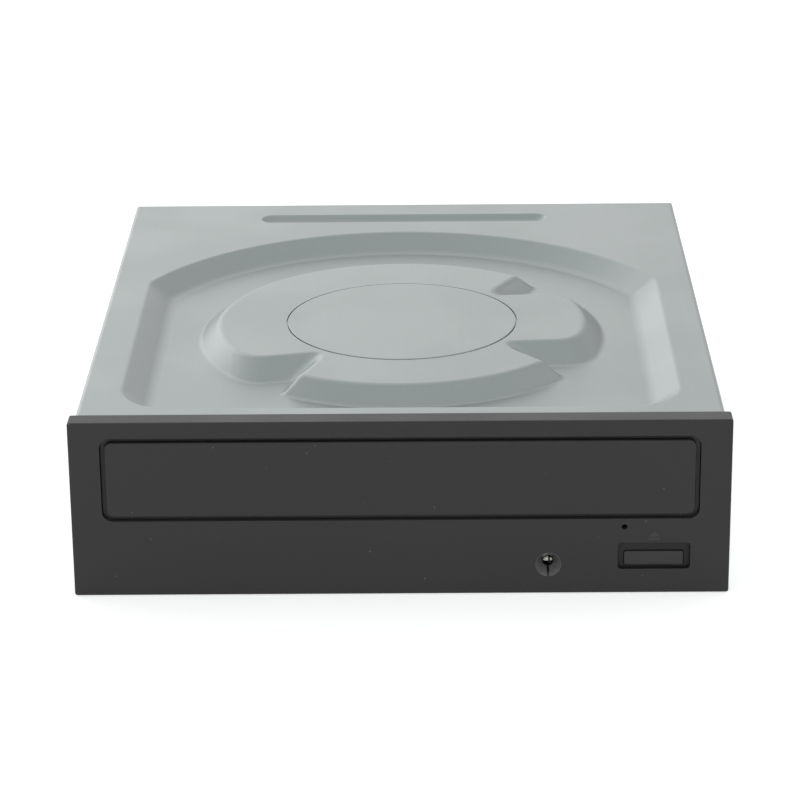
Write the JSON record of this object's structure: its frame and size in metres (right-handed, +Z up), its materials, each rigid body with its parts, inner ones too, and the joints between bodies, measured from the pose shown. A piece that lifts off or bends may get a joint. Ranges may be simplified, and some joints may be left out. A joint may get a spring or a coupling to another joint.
{
  "type": "optical disc drive",
  "caption": "Half-height disc drive: stamped steel case, black bezel with tray door, eject button and lamp; the tray slides out by a rack, lowering the spindle and pickup carrier.",
  "frame": {"origin": "middle of the bottom of the whole drive", "axes": "+X to the right seen from the front, +Y from the bezel to the rear plug, +Z up"},
  "size_m": [0.1484, 0.165, 0.042],
  "materials": {
    "cover_steel": "satin zinc-coated stamped sheet",
    "cap_steel": "satin zinc-coated plate",
    "pan_steel": "satin zinc-coated sheet",
    "screw_steel": "plated screw",
    "bezel_plastic": "fine spark-textured black moulding",
    "tray_plastic": "satin black moulding",
    "chassis_plastic": "dark moulding",
    "dark_plastic": "black moulding",
    "ivory_plastic": "natural moulding",
    "gear_plastic": "white low-friction moulding",
    "board_green": "solder-masked board",
    "black_rubber": "matt rubber",
    "pad_rubber": "soft rubber",
    "flex_film": "amber film",
    "led_clear": "clear cast resin",
    "lens_glass": "coated lens",
    "tinned_metal": "polished metal",
    "motor_steel": "plated drawn steel",
    "can_aluminium": "drawn can",
    "cast_alloy": "die casting",
    "contact_gold": "plated contact",
    "coil_copper": "enamelled winding"
  },
  "bodies": {
    "case": {"top_cover": "cover_steel", "clamp_cap": "cap_steel", "bottom_cover": "pan_steel", "case_screws": "screw_steel", "front_bezel": "bezel_plastic", "front_board": "board_green", "eject_switch": "dark_plastic", "activity_led": "led_clear", "led_leads": "tinned_metal", "main_chassis": "chassis_plastic", "loading_motor": "motor_steel", "motor_screws": "screw_steel", "drive_belt": "black_rubber", "main_board": "board_green", "board_screws": "screw_steel", "board_chips": "dark_plastic", "board_capacitors": "can_aluminium", "thermal_pads": "pad_rubber", "flex_sockets": "ivory_plastic", "pickup_flex": "flex_film", "sata_connector": "dark_plastic", "sata_contacts": "contact_gold"},
    "tray": {"disc_tray": "tray_plastic", "tray_door": "bezel_plastic"},
    "button": {"eject_button": "bezel_plastic", "switch_plunger": "ivory_plastic"},
    "tray_gear": {"tray_gear": "gear_plastic"},
    "pulley_gear": {"pulley_gear": "gear_plastic"},
    "motor_rotor": {"motor_pulley": "gear_plastic", "motor_shaft": "tinned_metal"},
    "cam_slider": {"cam_slider": "gear_plastic"},
    "lift": {"lift_frame": "chassis_plastic", "damper_grommets": "pad_rubber", "damper_screws": "screw_steel", "traverse_plate": "pan_steel", "spindle_base": "pan_steel", "spindle_stator": "coil_copper", "spindle_screws": "screw_steel", "guide_rods": "tinned_metal", "rod_holders": "dark_plastic", "feed_motor": "motor_steel", "screw_bearing": "ivory_plastic"},
    "spindle": {"rotor": "motor_steel", "turntable": "dark_plastic", "turntable_pad": "black_rubber", "centering_cone": "ivory_plastic", "hub_magnet": "motor_steel"},
    "sled": {"pickup_sled": "cast_alloy", "pickup_cover": "cap_steel", "laser_unit": "contact_gold", "feed_rack": "gear_plastic", "magnet_yokes": "motor_steel"},
    "lens": {"lens_holder": "dark_plastic", "objective_lens": "lens_glass"},
    "lead_screw": {"lead_screw": "tinned_metal"},
    "clamp": {"clamp_puck": "gear_plastic", "clamp_plate": "motor_steel", "clamp_pad": "black_rubber"}
  },
  "joints": [
    {"name": "tray_slide", "type": "slide", "parent": "case", "child": "tray", "axis": [0, -1, 0], "range_m": [0, 0.13]},
    {"name": "button_press", "type": "slide", "parent": "case", "child": "button", "axis": [0, 1, 0], "range_m": [0, 0.0007], "stiffness_N_per_m": 1200},
    {"name": "tray_gear_spin", "type": "hinge", "parent": "case", "child": "tray_gear", "pos_m": [0.046, -0.0565, 0.02], "axis": [0, 0, -1], "range_deg": [0, 935]},
    {"name": "pulley_gear_spin", "type": "hinge", "parent": "case", "child": "pulley_gear", "pos_m": [0.0236, -0.0565, 0.018], "axis": [0, 0, 1], "range_deg": [0, 2800]},
    {"name": "motor_spin", "type": "hinge", "parent": "case", "child": "motor_rotor", "pos_m": [-0.015, -0.0565, 0.015], "axis": [0, 0, 1], "range_deg": [0, 10400]},
    {"name": "cam_slide", "type": "slide", "parent": "case", "child": "cam_slider", "axis": [1, 0, 0], "range_m": [0, 0.01501]},
    {"name": "lift_tilt", "type": "hinge", "parent": "case", "child": "lift", "pos_m": [0, 0.0665, 0.0181], "axis": [1, 0, 0], "range_deg": [0, 5.75], "deforming": ["pickup_flex"]},
    {"name": "spindle_spin", "type": "hinge", "parent": "lift", "child": "spindle", "pos_m": [0, -0.0135, 0.025], "axis": [0, 0, 1], "continuous": true},
    {"name": "clamp_spin", "type": "hinge", "parent": "case", "child": "clamp", "pos_m": [0, -0.0135, 0.038], "axis": [0, 0, 1], "continuous": true},
    {"name": "sled_slide", "type": "slide", "parent": "lift", "child": "sled", "axis": [0, 1, 0], "range_m": [0, 0.035]},
    {"name": "lens_focus", "type": "slide", "parent": "sled", "child": "lens", "axis": [0, 0, 1], "range_m": [-0.0006, 0.0006], "stiffness_N_per_m": 120},
    {"name": "lead_screw_spin", "type": "hinge", "parent": "lift", "child": "lead_screw", "pos_m": [-0.033, 0, 0.0217], "axis": [0, 1, 0], "range_deg": [0, 4210]}
  ],
  "couplings": [
    {"joint": "tray_gear_spin", "follows": "tray_slide", "rad_per_m": 125},
    {"joint": "pulley_gear_spin", "follows": "tray_slide", "rad_per_m": 375},
    {"joint": "motor_spin", "follows": "tray_slide", "rad_per_m": 1386.9},
    {"joint": "cam_slide", "follows": "tray_slide", "ratio": 0.11538},
    {"joint": "lift_tilt", "follows": "tray_slide", "rad_per_m": 0.77052},
    {"joint": "clamp_spin", "follows": "spindle_spin", "ratio": 1},
    {"joint": "lead_screw_spin", "follows": "sled_slide", "rad_per_m": 2094.4}
  ]
}
